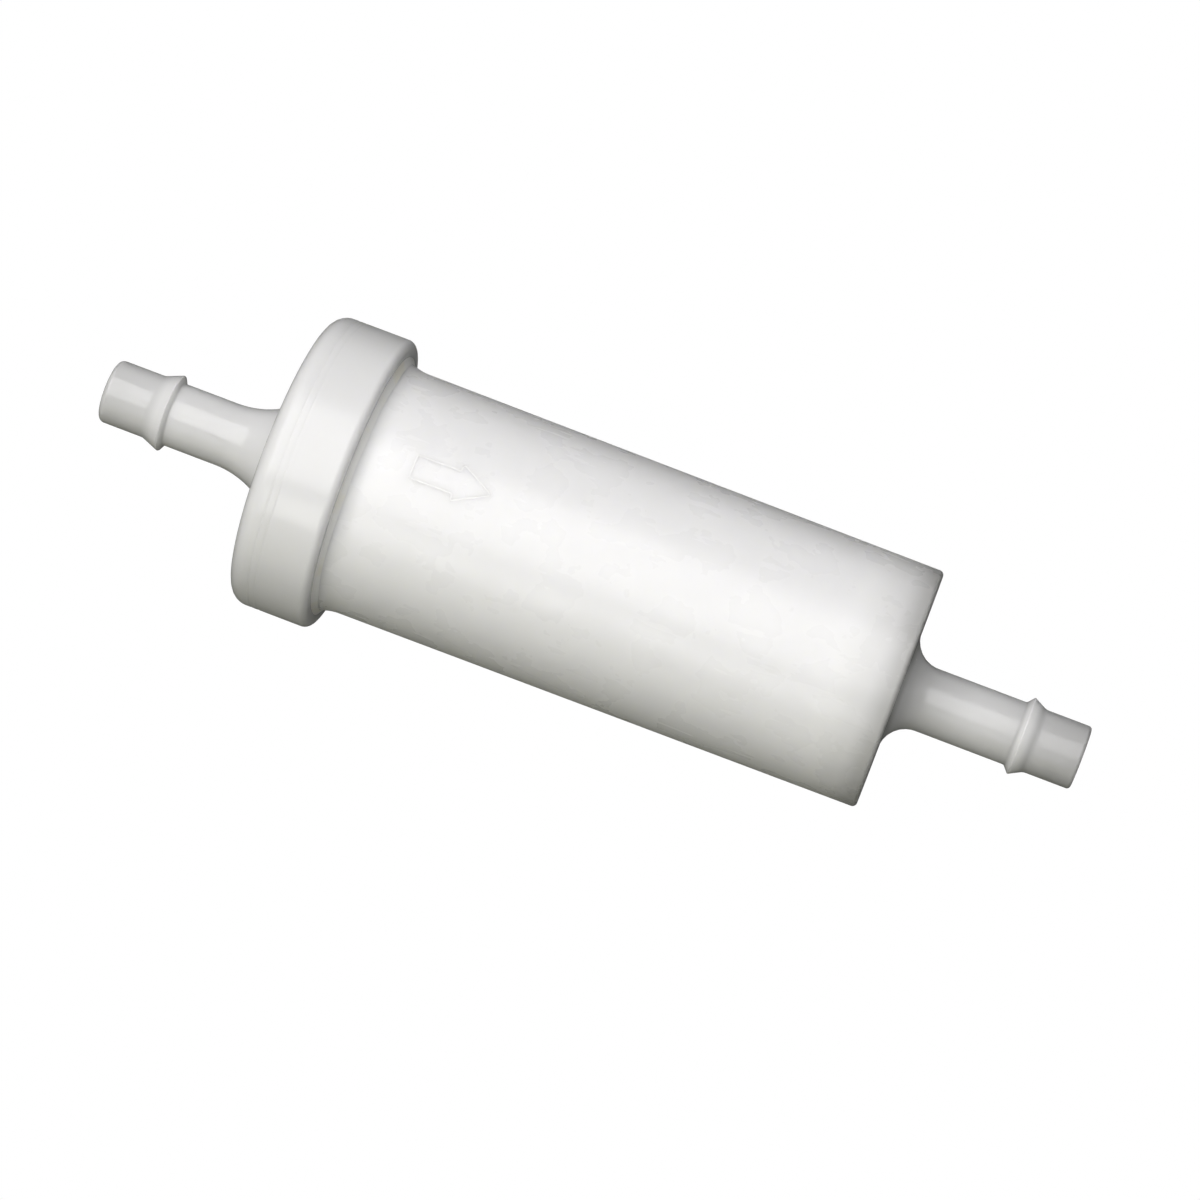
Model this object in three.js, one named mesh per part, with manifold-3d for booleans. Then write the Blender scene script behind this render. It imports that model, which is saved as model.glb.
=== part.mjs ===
// In-line fuel filter, in millimetres: a welded plastic housing with a hose barb at each end,
// and inside it a pleated paper cartridge that a light spring keeps on its outlet seat.
//
// Fuel flows along +X, and the origin is on the flow axis at the middle of the length.
// Round pieces are half sections turned about that axis. A section's points are
// (radius, station), and a station is the distance from the inlet tip, along the flow.

import * as THREE from 'three';
import { mergeVertices } from 'three/addons/utils/BufferGeometryUtils.js';
import Module from 'manifold-3d';

// ---- Driving dimensions -----------------------------------------------------------------

const overallLength = 128.8;
const turnSegments = 40;
const arcSteps = 2;
const fitGap = 0.1;

// Hose stubs, for 8 mm (5/16 inch) hose. Lengths are measured back from each stub's own tip.
const stubRadius = 4.08;
const boreRadius = 3.0;
const barbRadius = 5.0;
const inletStub = { tipRound: 0.75, barbPeak: 8.3, barbRamp: 2.3, barbBack: 0.5 };
const outletStub = { tipRound: 0.45, barbPeak: 7.75, barbRamp: 1.75, barbBack: 0.8 };

// Inlet cap: a cup that is welded over the open end of the body.
const capFront = 23.6;
const capBack = 34.1;
const capRadius = 19.0;
const capFrontRound = 2.1;
const capBackRound = 1.0;
const capWall = 2.4;
const capFlareStart = 15.7;
const capFlareRadius = 11.7;
const skirtInner = 16.15;
const springRibInner = 7.2;
const springRibOuter = 8.2;
const springRibHeight = 1.2;

// Filter body: a drafted cup with the outlet stub moulded on its closed end.
const bodyOpenEnd = 26.3;
const bodyRadiusAtCap = 15.85;
const bodyRadiusAtEnd = 15.47;
const bodyEnd = 105.2;
const bodyWall = 1.8;
const bodyEndWall = 2.2;
const bodyEndRound = 0.9;
const outletFlare = 3.5;
const socketRadius = 5.4;
const socketOuter = 7.2;
const socketMouth = 97.1;
const socketFloor = 101.9;

// Flow arrow: a raised outline on top of the body, pointing to the outlet.
const arrowTail = capBack + 6.8;
const arrowLength = 10.6;
const arrowHeadLength = 5.0;
const arrowHeadWidth = 5.3;
const arrowShaftWidth = 3.4;
const arrowLine = 0.35;
const arrowHeight = 0.2;

// Weld bead: the fillet of melted plastic where the cap meets the body.
const beadHeight = 1.1;
const beadLength = 3.4;

// Spring: steel wire wound between the cap and the closed end disc.
const wireRadius = 0.4;
const springRadius = 6.4;
const springStart = capFront + capWall + fitGap;
const springEnd = 34.5;
const springTurns = 4.5;
const springDeadTurns = 0.75;
const deadPitch = 2.2 * wireRadius;

// Cartridge.
const discRadius = 12.9;
const discPlate = 1.2;
const discRim = 2.6;
const discRimWall = 0.55;
const discRound = 0.5;
const bossRadius = 5.3;
const bossHeight = 1.2;
const closedDiscFront = springEnd + fitGap;
const closedDiscBack = closedDiscFront + discPlate;
const openDiscFront = 94.4;
const openDiscBack = openDiscFront + discPlate;
const lugReach = 0.85;
const lugWidth = 2.0;
const lugLength = 2.5;
const lugCount = 4;
const pottingRadius = discRadius - discRimWall - fitGap;
const pottingDepth = 1.4;
const mediaStart = closedDiscBack + pottingDepth + 2 * fitGap;
const mediaEnd = openDiscFront - pottingDepth - 2 * fitGap;
const mediaLength = mediaEnd - mediaStart;

// Pleated paper.
const pleatCount = 30;
const paperThickness = 0.45;
const pleatOuter = 12.0;
const pleatInner = 5.7;
const outerFoldHalf = 0.75;
const innerFoldGapHalf = 0.1;

// Folded metal clip that closes the paper where its two ends meet.
const clipInner = 11.3;
const clipOuter = 12.22;
const clipSheet = 0.15;
const clipHalf = outerFoldHalf + clipSheet + fitGap;

// Core tube: a moulded cage that holds the pleats out.
const coreOuter = 5.3;
const coreInner = 4.3;
const windowRows = 6;
const windowsAround = 4;
const windowLength = 6.4;
const windowWidth = 3.4;

// Outlet spigot and its O-ring, which seal in the body's socket.
const spigotRadius = 5.0;
const spigotBore = 3.1;
const spigotShoulder = 6.8;
const spigotTip = 101.6;
const spigotTipRound = 0.3;
const grooveRadius = 4.1;
const grooveStart = 99.1;
const grooveEnd = 100.7;
const ringSection = 0.6;
const ringRadius = 4.75;
const ringStation = (grooveStart + grooveEnd) / 2;

// ---- Materials --------------------------------------------------------------------------

const housingPlastic = { color: 0xeeeee8, roughness: 0.32, metalness: 0 };
const weldPlastic = { color: 0xe4dfce, roughness: 0.42, metalness: 0 };
const cartridgePlastic = { color: 0xe6e6e0, roughness: 0.5, metalness: 0 };
const adhesive = { color: 0xc9a55c, roughness: 0.3, metalness: 0 };
const filterPaper = { color: 0xe3c98d, roughness: 0.95, metalness: 0 };
const sealRubber = { color: 0x23211f, roughness: 0.6, metalness: 0 };
const springSteel = { color: 0xb9bbbd, roughness: 0.3, metalness: 1 };
const clipSteel = { color: 0xc6c8ca, roughness: 0.35, metalness: 1 };

// ---- Geometry helpers -------------------------------------------------------------------

const wasm = await Module();
wasm.setup();

// Turns a half section about the Y axis. The section is closed on itself.
function turned(section) {
  const points = section.getPoints(arcSteps);
  if (THREE.ShapeUtils.area(points) < 0) {
    points.reverse();
  }
  points.push(points[0].clone());
  return new THREE.LatheGeometry(points, turnSegments);
}

function toSolid(geometry) {
  const bare = geometry.clone();
  bare.deleteAttribute('normal');
  bare.deleteAttribute('uv');
  const merged = mergeVertices(bare, 1e-5);
  const vertProperties = new Float32Array(merged.attributes.position.array);
  const triVerts = new Uint32Array(merged.index.array);
  return new wasm.Manifold(new wasm.Mesh({ numProp: 3, vertProperties, triVerts }));
}

function toGeometry(solid) {
  const { vertProperties, triVerts } = solid.getMesh();
  const geometry = new THREE.BufferGeometry();
  geometry.setAttribute('position', new THREE.BufferAttribute(vertProperties, 3));
  geometry.setIndex(new THREE.BufferAttribute(triVerts, 1));
  geometry.computeVertexNormals();
  return geometry;
}

function polarPoint(radius, angle) {
  return new THREE.Vector2(radius * Math.cos(angle), radius * Math.sin(angle));
}

// Extrudes an outline that is drawn across the flow axis, from one station to another.
function extrudedAlongFlow(shape, start, end) {
  const geometry = new THREE.ExtrudeGeometry(shape, { depth: end - start, bevelEnabled: false });
  geometry.rotateX(-Math.PI / 2);
  geometry.translate(0, start, 0);
  return geometry;
}

// Adds a stub's outside to a section, from its tip to the end of its barb.
// direction is +1 when stations grow away from the tip, and -1 when they shrink.
function addStubTip(section, tip, direction, { tipRound, barbPeak, barbRamp, barbBack }) {
  const at = (distance) => tip + direction * distance;
  const sweep = direction > 0 ? [-Math.PI / 2, 0, false] : [Math.PI / 2, 0, true];
  section.moveTo(boreRadius, tip);
  section.lineTo(stubRadius - tipRound, tip);
  section.absarc(stubRadius - tipRound, at(tipRound), tipRound, ...sweep);
  section.lineTo(stubRadius, at(barbPeak - barbRamp));
  section.lineTo(barbRadius, at(barbPeak));
  section.lineTo(stubRadius, at(barbPeak + barbBack));
}

// ---- Housing ----------------------------------------------------------------------------

function makeInletCap() {
  const innerFace = capFront + capWall;
  const flareSweep = Math.asin((capFront - capFlareStart) / capFlareRadius);
  const section = new THREE.Path();
  addStubTip(section, 0, 1, inletStub);
  section.absarc(
    stubRadius + capFlareRadius, capFlareStart, capFlareRadius, Math.PI, Math.PI - flareSweep, true,
  );
  section.absarc(
    capRadius - capFrontRound, capFront + capFrontRound, capFrontRound, -Math.PI / 2, 0, false,
  );
  section.absarc(
    capRadius - capBackRound, capBack - capBackRound, capBackRound, 0, Math.PI / 2, false,
  );
  section.lineTo(skirtInner, capBack);
  section.lineTo(skirtInner, innerFace);
  section.lineTo(springRibOuter, innerFace);
  section.lineTo(springRibOuter, innerFace + springRibHeight);
  section.lineTo(springRibInner, innerFace + springRibHeight);
  section.lineTo(springRibInner, innerFace);
  section.lineTo(boreRadius, innerFace);
  return turned(section);
}

function bodyRadiusAt(station) {
  const share = (station - capBack) / (bodyEnd - capBack);
  return THREE.MathUtils.lerp(bodyRadiusAtCap, bodyRadiusAtEnd, share);
}

function makeBodyShell() {
  const endFace = bodyEnd - bodyEndWall;
  const flare = outletFlare;
  const section = new THREE.Path();
  addStubTip(section, overallLength, -1, outletStub);
  section.absarc(stubRadius + flare, bodyEnd + flare, flare, Math.PI, 1.5 * Math.PI, false);
  section.absarc(
    bodyRadiusAtEnd - bodyEndRound, bodyEnd - bodyEndRound, bodyEndRound, Math.PI / 2, 0, true,
  );
  section.lineTo(bodyRadiusAt(bodyOpenEnd), bodyOpenEnd);
  section.lineTo(bodyRadiusAt(bodyOpenEnd) - bodyWall, bodyOpenEnd);
  section.lineTo(bodyRadiusAt(endFace) - bodyWall, endFace);
  section.lineTo(socketOuter, endFace);
  section.lineTo(socketOuter, socketMouth);
  section.lineTo(socketRadius, socketMouth);
  section.lineTo(socketRadius, socketFloor);
  section.lineTo(boreRadius, socketFloor);
  return turned(section);
}

// The arrow's outline, pulled in by an inset all round. X runs across the flow and Y along it.
function arrowOutline(inset) {
  const headAngle = Math.atan(arrowHeadWidth / 2 / arrowHeadLength);
  const tail = arrowTail + inset;
  const shaft = arrowShaftWidth / 2 - inset;
  const shoulder = arrowTail + arrowLength - arrowHeadLength + inset;
  const tip = arrowTail + arrowLength - inset / Math.sin(headAngle);
  const wing = (tip - shoulder) * Math.tan(headAngle);
  const corners = [
    [-shaft, tail], [shaft, tail], [shaft, shoulder], [wing, shoulder],
    [0, tip], [-wing, shoulder], [-shaft, shoulder],
  ];
  return corners.map(([across, along]) => new THREE.Vector2(across, along));
}

function makeFlowArrow() {
  const root = 0.3;
  const shape = new THREE.Shape(arrowOutline(0));
  shape.holes.push(new THREE.Path(arrowOutline(arrowLine)));
  const prism = new THREE.ExtrudeGeometry(shape, { depth: bodyRadiusAtCap, bevelEnabled: false });
  const start = arrowTail - 1;
  const end = arrowTail + arrowLength + 1;
  const sleeve = new THREE.Path();
  sleeve.moveTo(bodyRadiusAt(start) - root, start);
  sleeve.lineTo(bodyRadiusAt(start) + arrowHeight, start);
  sleeve.lineTo(bodyRadiusAt(end) + arrowHeight, end);
  sleeve.lineTo(bodyRadiusAt(end) - root, end);
  prism.translate(0, 0, arrowShaftWidth);
  return toSolid(prism).intersect(toSolid(turned(sleeve)));
}

function makeFilterBody() {
  return toGeometry(toSolid(makeBodyShell()).add(makeFlowArrow()));
}

function makeWeldBead() {
  const inner = bodyRadiusAt(capBack) + fitGap;
  const start = capBack + fitGap;
  const section = new THREE.Path();
  section.moveTo(inner, start);
  section.lineTo(inner + beadHeight, start);
  section.quadraticCurveTo(inner, start, inner, start + beadLength);
  return turned(section);
}

// ---- Spring -----------------------------------------------------------------------------

// A helix about the Y axis, with closely wound dead turns at both ends.
class SpringCurve extends THREE.Curve {
  getPoint(t, target = new THREE.Vector3()) {
    const turn = t * springTurns;
    const activeTurns = springTurns - 2 * springDeadTurns;
    const span = springEnd - springStart - 2 * wireRadius;
    const activePitch = (span - 2 * springDeadTurns * deadPitch) / activeTurns;
    const active = THREE.MathUtils.clamp(turn - springDeadTurns, 0, activeTurns);
    const height = springStart + wireRadius + active * activePitch + (turn - active) * deadPitch;
    const angle = 2 * Math.PI * turn;
    return target.set(springRadius * Math.cos(angle), height, springRadius * Math.sin(angle));
  }
}

function makeSpring() {
  const wire = new THREE.Shape();
  wire.absarc(0, 0, wireRadius, 0, 2 * Math.PI, false);
  const stepsPerTurn = 16;
  return new THREE.ExtrudeGeometry(wire, {
    steps: springTurns * stepsPerTurn,
    curveSegments: 4,
    extrudePath: new SpringCurve(),
  });
}

// ---- Cartridge --------------------------------------------------------------------------

function makeClosedEndDisc() {
  const rimEnd = closedDiscBack + discRim;
  const section = new THREE.Path();
  section.moveTo(0, closedDiscFront - bossHeight);
  section.lineTo(bossRadius, closedDiscFront - bossHeight);
  section.lineTo(bossRadius, closedDiscFront);
  section.absarc(
    discRadius - discRound, closedDiscFront + discRound, discRound, -Math.PI / 2, 0, false,
  );
  section.lineTo(discRadius, rimEnd);
  section.lineTo(discRadius - discRimWall, rimEnd);
  section.lineTo(discRadius - discRimWall, closedDiscBack);
  section.lineTo(0, closedDiscBack);
  let disc = toSolid(turned(section));
  for (let i = 0; i < lugCount; i += 1) {
    disc = disc.add(toSolid(makeLug((i + 0.5) * 2 * Math.PI / lugCount)));
  }
  return toGeometry(disc);
}

// A lug that keeps the free end of the cartridge in the middle of the body.
function makeLug(angle) {
  const root = discRimWall / 2;
  const lug = new THREE.BoxGeometry(lugReach + root, lugLength, lugWidth);
  lug.translate(discRadius + (lugReach - root) / 2, closedDiscFront + discRound + lugLength / 2, 0);
  return lug.rotateY(angle);
}

function makeOpenEndDisc() {
  const rimEnd = openDiscFront - discRim;
  const shoulder = socketMouth - fitGap;
  const section = new THREE.Path();
  section.moveTo(spigotBore, openDiscFront);
  section.lineTo(discRadius - discRimWall, openDiscFront);
  section.lineTo(discRadius - discRimWall, rimEnd);
  section.lineTo(discRadius, rimEnd);
  section.absarc(discRadius - discRound, openDiscBack - discRound, discRound, 0, Math.PI / 2, false);
  section.lineTo(spigotShoulder, openDiscBack);
  section.lineTo(spigotShoulder, shoulder);
  section.lineTo(spigotRadius, shoulder);
  section.lineTo(spigotRadius, grooveStart);
  section.lineTo(grooveRadius, grooveStart);
  section.lineTo(grooveRadius, grooveEnd);
  section.lineTo(spigotRadius, grooveEnd);
  section.lineTo(spigotRadius, spigotTip - spigotTipRound);
  section.lineTo(spigotRadius - spigotTipRound, spigotTip);
  section.lineTo(spigotBore, spigotTip);
  return turned(section);
}

function makeOutletSeal() {
  const section = new THREE.Path();
  section.absarc(ringRadius, ringStation, ringSection, 0, Math.PI, false);
  section.absarc(ringRadius, ringStation, ringSection, Math.PI, 2 * Math.PI, false);
  return turned(section);
}

function makePotting(innerRadius, start) {
  const section = new THREE.Path();
  section.moveTo(innerRadius, start);
  section.lineTo(pottingRadius, start);
  section.lineTo(pottingRadius, start + pottingDepth);
  section.lineTo(innerRadius, start + pottingDepth);
  return turned(section);
}

// One face of the folded paper: folds at two radii, each with a flat of the given half width.
function foldedFace(outerRadius, outerHalf, innerRadius, innerHalf) {
  const pitch = 2 * Math.PI / pleatCount;
  const points = [];
  for (let i = 0; i < pleatCount; i += 1) {
    const outerAngle = i * pitch;
    const innerAngle = outerAngle + pitch / 2;
    points.push(polarPoint(outerRadius, outerAngle - outerHalf / outerRadius));
    points.push(polarPoint(outerRadius, outerAngle + outerHalf / outerRadius));
    points.push(polarPoint(innerRadius, innerAngle - innerHalf / innerRadius));
    points.push(polarPoint(innerRadius, innerAngle + innerHalf / innerRadius));
  }
  return points;
}

function makePleatedMedia() {
  const paper = paperThickness;
  const shape = new THREE.Shape(
    foldedFace(pleatOuter, outerFoldHalf, pleatInner + paper, innerFoldGapHalf),
  );
  const inside = foldedFace(
    pleatOuter - paper, outerFoldHalf - paper, pleatInner, innerFoldGapHalf + paper,
  );
  shape.holes.push(new THREE.Path(inside));
  return extrudedAlongFlow(shape, mediaStart, mediaEnd);
}

// A channel folded over the pleat where the paper's two ends meet.
function makeSideSeamClip() {
  const legInner = clipHalf - clipSheet;
  const webInner = clipOuter - clipSheet;
  const corners = [
    [clipInner, -clipHalf], [clipOuter, -clipHalf], [clipOuter, clipHalf], [clipInner, clipHalf],
    [clipInner, legInner], [webInner, legInner], [webInner, -legInner], [clipInner, -legInner],
  ];
  const shape = new THREE.Shape(corners.map(([out, across]) => new THREE.Vector2(out, across)));
  return extrudedAlongFlow(shape, mediaStart, mediaEnd);
}

function makeCoreTube() {
  const section = new THREE.Path();
  section.moveTo(coreInner, mediaStart);
  section.lineTo(coreOuter, mediaStart);
  section.lineTo(coreOuter, mediaEnd);
  section.lineTo(coreInner, mediaEnd);
  let tube = toSolid(turned(section));
  const rowPitch = mediaLength / windowRows;
  for (let row = 0; row < windowRows; row += 1) {
    const station = mediaStart + (row + 0.5) * rowPitch;
    for (let side = 0; side < windowsAround / 2; side += 1) {
      // one cut makes two opposite windows, and every second row is turned by half a window
      const cut = new THREE.BoxGeometry(3 * coreOuter, windowLength, windowWidth);
      cut.rotateY((side + (row % 2) / 2) * 2 * Math.PI / windowsAround);
      cut.translate(0, station, 0);
      tube = tube.subtract(toSolid(cut));
    }
  }
  return toGeometry(tube);
}

// ---- Assembly ---------------------------------------------------------------------------

function addPart(group, name, geometry, finish) {
  const mesh = new THREE.Mesh(geometry, new THREE.MeshStandardMaterial(finish));
  mesh.name = name;
  group.add(mesh);
}

function makeHousing() {
  const housing = new THREE.Group();
  addPart(housing, 'filter_body', makeFilterBody(), housingPlastic);
  addPart(housing, 'inlet_cap', makeInletCap(), housingPlastic);
  addPart(housing, 'weld_bead', makeWeldBead(), weldPlastic);
  addPart(housing, 'preload_spring', makeSpring(), springSteel);
  return housing;
}

function makeCartridge() {
  const cartridge = new THREE.Group();
  addPart(cartridge, 'closed_end_disc', makeClosedEndDisc(), cartridgePlastic);
  addPart(cartridge, 'inlet_potting', makePotting(0, closedDiscBack + fitGap), adhesive);
  addPart(cartridge, 'pleated_media', makePleatedMedia(), filterPaper);
  addPart(cartridge, 'side_seam_clip', makeSideSeamClip(), clipSteel);
  addPart(cartridge, 'core_tube', makeCoreTube(), cartridgePlastic);
  addPart(cartridge, 'outlet_potting', makePotting(coreInner, mediaEnd + fitGap), adhesive);
  addPart(cartridge, 'open_end_disc', makeOpenEndDisc(), cartridgePlastic);
  addPart(cartridge, 'outlet_seal', makeOutletSeal(), sealRubber);
  return cartridge;
}

// Stations run up the Y axis while the pieces are drawn. The turn lays the flow along +X.
function makeFilter() {
  const filter = new THREE.Group();
  filter.add(makeHousing(), makeCartridge());
  filter.rotation.z = -Math.PI / 2;
  filter.position.x = -overallLength / 2;
  return filter;
}

export default makeFilter();
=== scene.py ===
"""Looks for a welded in-line fuel filter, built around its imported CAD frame.

Dimensions are in millimetres and become metres when a mesh is made. Fuel flows along +X. A station
is the distance from the inlet tip along the flow, and a section is an outline of
(radius, station) points that is turned about the flow axis.
"""

import math

import bmesh
import bpy
import numpy as np
from mathutils import Matrix, Quaternion, Vector


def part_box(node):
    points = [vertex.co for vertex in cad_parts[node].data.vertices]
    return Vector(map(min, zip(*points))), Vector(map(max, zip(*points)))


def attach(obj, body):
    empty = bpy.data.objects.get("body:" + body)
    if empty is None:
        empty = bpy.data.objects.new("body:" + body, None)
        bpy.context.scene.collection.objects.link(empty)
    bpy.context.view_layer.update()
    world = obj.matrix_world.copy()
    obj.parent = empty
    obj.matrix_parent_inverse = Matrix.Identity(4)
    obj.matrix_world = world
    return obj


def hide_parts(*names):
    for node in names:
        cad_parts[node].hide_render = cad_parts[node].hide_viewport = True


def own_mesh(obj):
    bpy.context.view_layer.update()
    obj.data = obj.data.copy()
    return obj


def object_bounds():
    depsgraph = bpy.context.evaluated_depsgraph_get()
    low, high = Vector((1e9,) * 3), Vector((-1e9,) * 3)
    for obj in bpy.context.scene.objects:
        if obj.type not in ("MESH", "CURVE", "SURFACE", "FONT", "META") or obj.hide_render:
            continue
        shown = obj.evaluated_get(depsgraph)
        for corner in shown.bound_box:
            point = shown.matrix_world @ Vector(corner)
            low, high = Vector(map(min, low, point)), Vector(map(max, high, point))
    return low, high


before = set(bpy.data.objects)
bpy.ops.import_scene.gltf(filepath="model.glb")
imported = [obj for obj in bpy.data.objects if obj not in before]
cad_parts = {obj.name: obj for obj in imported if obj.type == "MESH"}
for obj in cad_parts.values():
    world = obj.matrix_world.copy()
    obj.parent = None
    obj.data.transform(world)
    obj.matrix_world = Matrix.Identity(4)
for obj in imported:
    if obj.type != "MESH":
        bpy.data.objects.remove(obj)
cad_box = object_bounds()

# ---- Dimensions ---------------------------------------------------------------------------

MM = 0.001
OVERALL_LENGTH = 128.8

STUB_RADIUS = 4.08
BORE_RADIUS = 3.0
BARB_RADIUS = 5.0
INLET_STUB = {"tip_round": 0.75, "barb_peak": 8.3, "barb_ramp": 2.3, "barb_back": 0.5}
OUTLET_STUB = {"tip_round": 0.45, "barb_peak": 7.75, "barb_ramp": 1.75, "barb_back": 0.8}

CAP_FRONT = 23.6
CAP_BACK = 34.1
CAP_INNER_FACE = 26.0
CAP_RADIUS = 19.0
CAP_FRONT_ROUND = 2.1
CAP_BACK_ROUND = 1.0
SKIRT_INNER = 16.15
INLET_FLARE_START = 15.7
INLET_FLARE_RADIUS = 11.7
RIM_LINES = {26.3: 0.04, 27.2: 0.03}  # the station where each fine line starts, and its depth
SPRING_RIB_INNER = 7.2
SPRING_RIB_OUTER = 8.2
SPRING_RIB_HEIGHT = 1.2

BODY_OPEN_END = 26.3
BODY_RADIUS_AT_CAP = 15.85
BODY_RADIUS_AT_END = 15.47
BODY_END = 105.2
BODY_END_FACE = 103.0
BODY_END_ROUND = 0.6
BODY_WALL = 1.8
OUTLET_FLARE = 3.5
SOCKET_OUTER = 7.2
SOCKET_INNER = 5.4
SOCKET_MOUTH = 97.1
SOCKET_FLOOR = 101.9

SWELL_START = CAP_BACK + 0.15
SWELL_HEIGHT = 0.6
SWELL_LENGTH = 2.7
FILLET_INNER = BODY_RADIUS_AT_CAP - 0.02
FILLET_START = CAP_BACK - 0.05
FILLET_HEIGHT = 1.4
FILLET_LENGTH = 1.5

ARROW_TAIL = 40.9
ARROW_LENGTH = 10.6
ARROW_HEAD_LENGTH = 5.0
ARROW_HEAD_WIDTH = 5.3
ARROW_SHAFT_WIDTH = 3.4
ARROW_LINE = 0.35
ARROW_SUNK = 0.332

SPRING_START = 26.1
SPRING_END = 34.5
SPRING_RADIUS = 6.4
WIRE_RADIUS = 0.4
SPRING_TURNS = 4.5
DEAD_TURNS = 0.75
DEAD_PITCH = 0.88

DISC_RADIUS = 12.9
DISC_ROUND = 0.5
DISC_RIM_WALL = 0.55
CLOSED_DISC_FRONT = 34.6
CLOSED_DISC_BACK = 35.8
BOSS_RADIUS = 5.3
BOSS_HEIGHT = 1.2
LUG_SIZE = (2.5, 2.0, 1.1)
LUG_COUNT = 4
OPEN_DISC_FRONT = 94.4
OPEN_DISC_BACK = 95.6
DISC_RIM = 2.6
SHOULDER_RADIUS = 6.8
SHOULDER_END = 97.0
SPIGOT_BORE = 3.1
SPIGOT_RADIUS = 5.0
SPIGOT_END = 101.6
GROOVE_RADIUS = 4.1
GROOVE_START = 99.1
GROOVE_END = 100.7
POTTING_RADIUS = 12.25
INLET_GLUE = (35.85, 37.35)
OUTLET_GLUE = (92.85, 94.35)
MEDIA_START = 37.4
MEDIA_END = 92.8

PLEATS = 30
PAPER = 0.45
PLEAT_OUTER = 12.0
PLEAT_INNER = 5.7
CLIP_TOP = 12.14
CLIP_HALF_WIDTH = 0.92
CLIP_SHEET = 0.15
CRIMP_PITCH = 4.6

CORE_OUTER = 5.3
CORE_INNER = 4.3
WINDOW_ROWS = 6
WINDOWS_AROUND = 4
WINDOW_LENGTH = 6.4

RING_RADIUS = 4.75
RING_SECTION = 0.6
RING_STATION = 99.9
RING_FLASH = 0.03


# ---- Geometry helpers ---------------------------------------------------------------------

def flow_x(station):
    """The place of a station on the X axis, in millimetres."""
    return station - OVERALL_LENGTH / 2


def rounded(corners, steps=6):
    """A closed outline whose corners (a, b, rounding) become arcs. Corners (a, b) stay sharp.

    A point just outside each end of an arc keeps the flat beside it flat in the shading.
    """
    points = []
    for i, corner in enumerate(corners):
        here = Vector(corner[:2])
        if len(corner) == 2:
            points.append(here)
            continue
        rounding = corner[2]
        before = (Vector(corners[i - 1][:2]) - here).normalized()
        after = (Vector(corners[(i + 1) % len(corners)][:2]) - here).normalized()
        half_angle = before.angle(after) / 2
        reach = rounding / math.tan(half_angle)
        guard = reach + 0.15 * rounding
        centre = here + (before + after).normalized() * rounding / math.sin(half_angle)
        start = here + before * reach - centre
        end = here + after * reach - centre
        points.append(here + before * guard)
        for step in range(steps + 1):
            points.append(centre + start.lerp(end, step / steps).normalized() * rounding)
        points.append(here + after * guard)
    return np.array(points)


def arc(centre, radius, start, sweep, steps):
    """Points on an arc, as corners for rounded(). Angles are in degrees."""
    angles = np.radians(np.linspace(start, start + sweep, steps + 1))
    return [(centre[0] + radius * math.cos(a), centre[1] + radius * math.sin(a)) for a in angles]


def waves(angle, harmonics, seed):
    """A smooth random value round the axis, made of the given harmonics."""
    random = np.random.default_rng(seed)
    total = np.zeros_like(angle)
    for harmonic in harmonics:
        total += np.sin(harmonic * angle + random.uniform(0, 2 * np.pi))
    return total / math.sqrt(len(harmonics))


def new_object(name, mesh):
    piece = bpy.data.objects.new(name, mesh)
    bpy.context.scene.collection.objects.link(piece)
    return piece


def finish_mesh(name, shell, sharp_angle=40):
    """Turns a bmesh in millimetres into a smooth-shaded object in metres."""
    bmesh.ops.remove_doubles(shell, verts=shell.verts, dist=1e-4)
    bmesh.ops.recalc_face_normals(shell, faces=shell.faces)
    bmesh.ops.scale(shell, vec=(MM, MM, MM), verts=shell.verts)
    mesh = bpy.data.meshes.new(name)
    shell.to_mesh(mesh)
    shell.free()
    mesh.shade_smooth()
    mesh.set_sharp_from_angle(angle=math.radians(sharp_angle))
    return new_object(name, mesh)


def ring_shell(points):
    """A bmesh over a grid of points (rows, columns, xyz) that closes on itself both ways."""
    shell = bmesh.new()
    verts = [[shell.verts.new(p) for p in row] for row in points]
    rows, columns = len(verts), len(verts[0])
    for i in range(rows):
        for j in range(columns):
            below, across = verts[(i + 1) % rows], (j + 1) % columns
            shell.faces.new((verts[i][j], below[j], below[across], verts[i][across]))
    return shell


def turned_shell(section, segments=192, vary=None):
    """Turns a section about the flow axis. vary(angle, section) may change it on the way."""
    rows = []
    for angle in np.linspace(0, 2 * np.pi, segments, endpoint=False):
        radius, station = (section if vary is None else vary(angle, section)).T
        rows.append(np.stack([
            flow_x(station),
            radius * math.cos(angle),
            radius * math.sin(angle),
        ], axis=1))
    return ring_shell(rows)


def tube_along(name, path, radius, cyclic):
    """A round bar along a path in millimetres."""
    curve = bpy.data.curves.new(name, "CURVE")
    curve.dimensions = "3D"
    spline = curve.splines.new("POLY")
    spline.points.add(len(path) - 1)
    for point, place in zip(spline.points, path):
        point.co = (*(Vector(place) * MM), 1)
    spline.use_cyclic_u = cyclic
    curve.bevel_depth = radius * MM
    curve.bevel_resolution = 5
    curve.use_fill_caps = True
    bar = new_object(name + "_path", curve)
    mesh = bpy.data.meshes.new_from_object(bar)
    bpy.data.objects.remove(bar)
    mesh.name = name
    mesh.shade_smooth()
    mesh.set_sharp_from_angle(angle=math.radians(50))
    return new_object(name, mesh)


# ---- Material helpers ---------------------------------------------------------------------

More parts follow.
